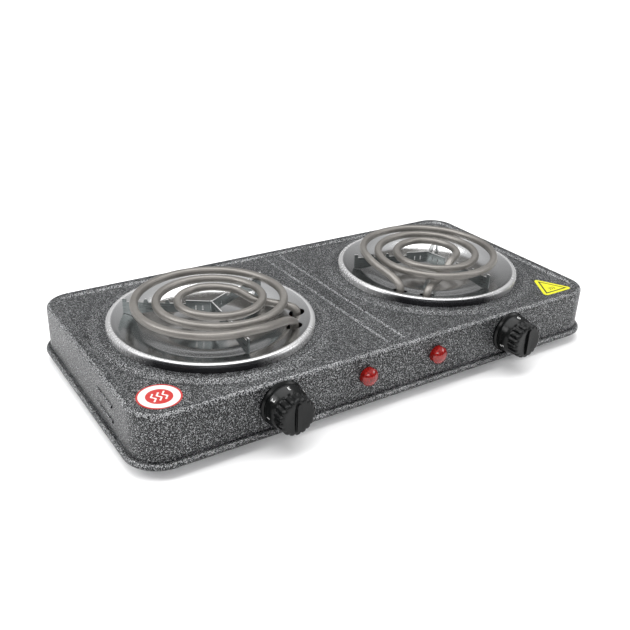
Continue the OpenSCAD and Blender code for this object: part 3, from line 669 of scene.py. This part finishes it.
def apply_boolean(obj, tool):
    """Cuts the tool out of the piece and deletes the tool."""
    mod = obj.modifiers.new("cut", "BOOLEAN")
    mod.operation = "DIFFERENCE"
    mod.solver = "EXACT"
    mod.object = tool
    bpy.context.view_layer.update()
    deps = bpy.context.evaluated_depsgraph_get()
    mesh = bpy.data.meshes.new_from_object(obj.evaluated_get(deps))
    obj.modifiers.clear()
    obj.data = mesh
    bpy.data.objects.remove(tool)


def drip_pan(side, node):
    """A turned sheet dish with two leg holes."""
    line = pan_profile()
    outline = offset_line(line, PAN_T / 2) + offset_line(line, -PAN_T / 2)[::-1]
    obj = lathe(node + "_dish", outline, side)
    apply_boolean(obj, cutter(side, [polar(*OUTER_LEG), polar(*INNER_LEG)], LEG_HOLE_R))
    sharp_edges(obj, 40.0)
    return finished(obj, node, "pan_left" if side < 0 else "pan_right")


# ---------------------------------------------------------------- knobs

KNOB_BACK = 4.0                         # gap between the front wall and the knob's back
KNOB_LEN = 22.0
SKIRT_R = 18.5
SKIRT_H = 3.6
SHOULDER_H = 11.0
FACE_R = 16.3
RIM_W = 2.2                             # the skirt's thickness at its open back
BORE_DEEP = 3.0                         # how deep the back is hollowed
FACE_DISH = 0.6                         # how far the middle of the face lies back
FLUTES = 18
FLUTE_DEEP = 1.45
AROUND = FLUTES * 12
FIGURE_SIZE = 5.2
FIGURE_Z = 6.2
FIGURE_R = 18.1
SHOULDER_TILT = 80                      # of the shoulder's direction away from the knob's axis, in degrees
INK_T = 0.03
INK_LIFT = 0.12


def on_knob(side, x, y, z):
    """Point of a knob's frame: x right, y up, z out of the front wall."""
    return place(side * KNOB_X + KNOB_SHIFT + x, FRONT_Y - z, CONTROL_Z + y)


def knob(side, node):
    """Skirt, shoulder, fluted grip and face, as one turned shape with a hollow back."""
    # radius, height and how deep the flutes are there
    rows = [(SKIRT_R - RIM_W, 0.0, 0.0), (SKIRT_R - 0.5, 0.0, 0.0), (SKIRT_R, 0.5, 0.0),
            (SKIRT_R, SKIRT_H - 0.3, 0.0), (SKIRT_R - 0.15, SKIRT_H, 0.0), (SKIRT_R - 0.4, 6.2, 0.0),
            (SKIRT_R - 0.9, 8.4, 0.0), (SKIRT_R - 1.5, 9.9, 0.0), (FACE_R + 0.1, SHOULDER_H, 0.0),
            (FACE_R - 0.1, SHOULDER_H + 0.4, 0.6)]
    for k in range(1, 7):
        height = SHOULDER_H + 0.8 + (KNOB_LEN - 2.8 - SHOULDER_H) * k / 6
        rows.append((FACE_R, height, min(1.0, 0.7 + 0.15 * k)))
    rows += [(FACE_R - 0.15, KNOB_LEN - 1.6, 1.0), (FACE_R - 0.5, KNOB_LEN - 0.9, 0.95),
             (FACE_R - 1.1, KNOB_LEN - 0.35, 0.8), (FACE_R - 2.0, KNOB_LEN - 0.05, 0.5),
             (FACE_R - 3.2, KNOB_LEN, 0.15), (FACE_R - 5.0, KNOB_LEN - 0.1, 0.0),
             (9.0, KNOB_LEN - 0.35, 0.0), (6.0, KNOB_LEN - 0.5, 0.0), (3.0, KNOB_LEN - FACE_DISH, 0.0)]
    angles = [2 * math.pi * k / AROUND for k in range(AROUND)]
    verts, faces = [], []
    for r, z, depth in rows:
        for a in angles:
            wave = 0.5 + 0.5 * math.cos(a * FLUTES)
            cut = FLUTE_DEEP * depth * wave ** 2.2
            verts.append(on_knob(side, (r - cut) * math.cos(a), (r - cut) * math.sin(a), KNOB_BACK + z))
    for i in range(len(rows) - 1):
        for k in range(AROUND):
            m = (k + 1) % AROUND
            faces.append((i * AROUND + k, i * AROUND + m, (i + 1) * AROUND + m, (i + 1) * AROUND + k))
    tip = len(verts)
    verts.append(on_knob(side, 0, 0, KNOB_BACK + KNOB_LEN - FACE_DISH))
    last = (len(rows) - 1) * AROUND
    for k in range(AROUND):
        faces.append((last + k, last + (k + 1) % AROUND, tip))
    inner = len(verts)
    bore = SKIRT_R - RIM_W
    for z in (0.0, BORE_DEEP):
        for a in angles:
            verts.append(on_knob(side, bore * math.cos(a), bore * math.sin(a), KNOB_BACK + z))
    for k in range(AROUND):
        m = (k + 1) % AROUND
        faces.append((inner + k, inner + AROUND + k, inner + AROUND + m, inner + m))
    faces.append(tuple(inner + AROUND + k for k in range(AROUND)))
    obj = new_mesh(node + "_moulding", verts, faces)
    face_outward(obj, weld=1e-6)
    sharp_edges(obj, 50.0)
    return finished(obj, node, "black_plastic", node.replace("_knob", "_knob_turning"))


def numeral(side, text, at, node):
    """A printed figure on the shoulder, at an angle from the top."""
    curve = bpy.data.curves.new("figure", "FONT")
    curve.body = text
    curve.size = FIGURE_SIZE * MM
    curve.align_x = "CENTER"
    curve.align_y = "CENTER"
    curve.extrude = INK_T * MM
    temp = bpy.data.objects.new("figure", curve)
    bpy.context.scene.collection.objects.link(temp)
    bpy.context.view_layer.update()
    deps = bpy.context.evaluated_depsgraph_get()
    mesh = bpy.data.meshes.new_from_object(temp.evaluated_get(deps))
    bpy.data.objects.remove(temp)
    obj = bpy.data.objects.new(f"{node}_figure_{text}", mesh)
    bpy.context.scene.collection.objects.link(obj)
    a = math.radians(at)
    radial = Vector((math.sin(a), 0, math.cos(a)))
    slope = math.radians(SHOULDER_TILT)
    normal = (radial * math.sin(slope) + Vector((0, -1, 0)) * math.cos(slope)).normalized()
    up = (radial - normal * radial.dot(normal)).normalized() * -1
    right = up.cross(normal)
    middle = on_knob(side, 0, 0, KNOB_BACK + FIGURE_Z)
    middle += radial * (FIGURE_R * MM) + normal * (INK_LIFT * MM)
    turn = Matrix((right, up, normal)).transposed()
    for v in mesh.vertices:
        v.co = middle + turn @ v.co
    dress(obj, "ink")
    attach(obj, node + "_turning")
    return obj


# ---------------------------------------------------------------- build

for side, name in ((-1, "left"), (1, "right")):
    element(side, name + "_element")
    drip_pan(side, name + "_drip_pan")
    knob(side, name + "_knob")
    start = -150.0 if side < 0 else 0.0
    for i, text in enumerate(("0", "1", "2", "3", "4", "5")):
        numeral(side, text, start + 50.0 * i, name + "_knob")

for node, obj in NODES.items():
    if obj.hide_render:
        continue
    for row in frame["record"]["subparts"]:
        if row["node"] == node:
            material = row["material_slot"]
    if "support" in node:
        material = "strip"
    dress(obj, material)
    if material in ("strip", "zinc", "black_plastic"):
        bevel = obj.modifiers.new("soft_edges", "BEVEL")
        bevel.width = 0.00015
        bevel.segments = 2
        bevel.limit_method = "ANGLE"
        bevel.angle_limit = math.radians(50)

# ---------------------------------------------------------------- stage, light and camera


def floor():
    """A pale floor that glows more with distance, so that it stays white to its far edge."""
    size = 40.0
    obj = new_mesh("floor", [(-size, -size, 0), (size, -size, 0), (size, size, 0), (-size, size, 0)],
                   [(0, 1, 2, 3)], False)
    g = Graph("studio_floor")
    cloud = g.noise(1.2, detail=2.0)
    far = g.range(g.vec("LENGTH", g.coord), 0.7, 2.0, 0.05, 0.95)
    g.set(color=g.mix(cloud, (0.90, 0.90, 0.90), (0.93, 0.93, 0.93)), rough=0.6, specular=0.1,
          emission=(1.0, 1.0, 1.0), emission_strength=far)
    obj.data.materials.append(g.mat)
    obj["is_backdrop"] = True


def area(name, place_at, look_at, size, power):
    """A rectangular soft light."""
    light = bpy.data.lights.new(name, "AREA")
    light.shape = "RECTANGLE"
    light.size, light.size_y = size
    light.energy = power
    obj = bpy.data.objects.new(name, light)
    bpy.context.scene.collection.objects.link(obj)
    obj.location = place_at
    obj.rotation_euler = (Vector(look_at) - Vector(place_at)).to_track_quat("-Z", "Y").to_euler()
    return obj


def sky():
    """A grey sky that brightens from the horizon to overhead."""
    world = bpy.data.worlds.new("studio")
    bpy.context.scene.world = world
    world.use_nodes = True
    tree = world.node_tree
    background = tree.nodes["Background"]
    coord = tree.nodes.new("ShaderNodeTexCoord")
    split = tree.nodes.new("ShaderNodeSeparateXYZ")
    ramp = tree.nodes.new("ShaderNodeValToRGB")
    tree.links.new(coord.outputs["Generated"], split.inputs[0])
    tree.links.new(split.outputs[2], ramp.inputs[0])
    tree.links.new(ramp.outputs[0], background.inputs[0])
    stops = [(0.0, 0.10), (0.18, 0.16), (0.45, 0.45), (0.8, 0.9)]
    while len(ramp.color_ramp.elements) < len(stops):
        ramp.color_ramp.elements.new(0.5)
    for step, (at, grey) in zip(ramp.color_ramp.elements, stops):
        step.position = at
        step.color = (grey, grey, grey * 1.01, 1.0)
    background.inputs[1].default_value = 0.9


AZ, EL, ROLL = math.radians(-34.2035), math.radians(26.4107), math.radians(2.3630)
DISTANCE = 0.83521
FOCAL = 46.19
AIM = (15.815, 43.058, 0.0)


def camera():
    """Looks at the aim point from the given azimuth and elevation, rolled a little."""
    back = Vector((math.sin(AZ) * math.cos(EL), -math.cos(AZ) * math.cos(EL), math.sin(EL)))
    right = back.cross(Vector((0, 0, 1))).normalized() * -1
    up = back.cross(right)
    right_r = right * math.cos(ROLL) + up * math.sin(ROLL)
    up_r = up * math.cos(ROLL) - right * math.sin(ROLL)
    data = bpy.data.cameras.new("camera")
    data.lens = FOCAL
    data.sensor_width = 36.0
    data.clip_start = 0.01
    obj = bpy.data.objects.new("camera", data)
    bpy.context.scene.collection.objects.link(obj)
    turn = Matrix((right_r, up_r, back)).transposed().to_4x4()
    obj.matrix_world = Matrix.Translation(place(*AIM) + back * DISTANCE) @ turn
    bpy.context.scene.camera = obj


floor()
area("top", (0.0, 0.25, 1.9), (0, 0, 0), (2.4, 1.8), 44.0)
area("key", (-1.5, 0.5, 1.2), (0, 0, 0), (0.9, 0.7), 14.0)
area("fill", (1.5, -1.0, 1.0), (0, 0, 0), (1.0, 0.7), 9.0)
area("front", (-0.9, -1.7, 1.1), (0, 0, 0.03), (1.0, 0.4), 8.0)
sky()
bpy.context.scene.view_settings.view_transform = "Standard"
camera()

write_bounds("visual", SIZES)
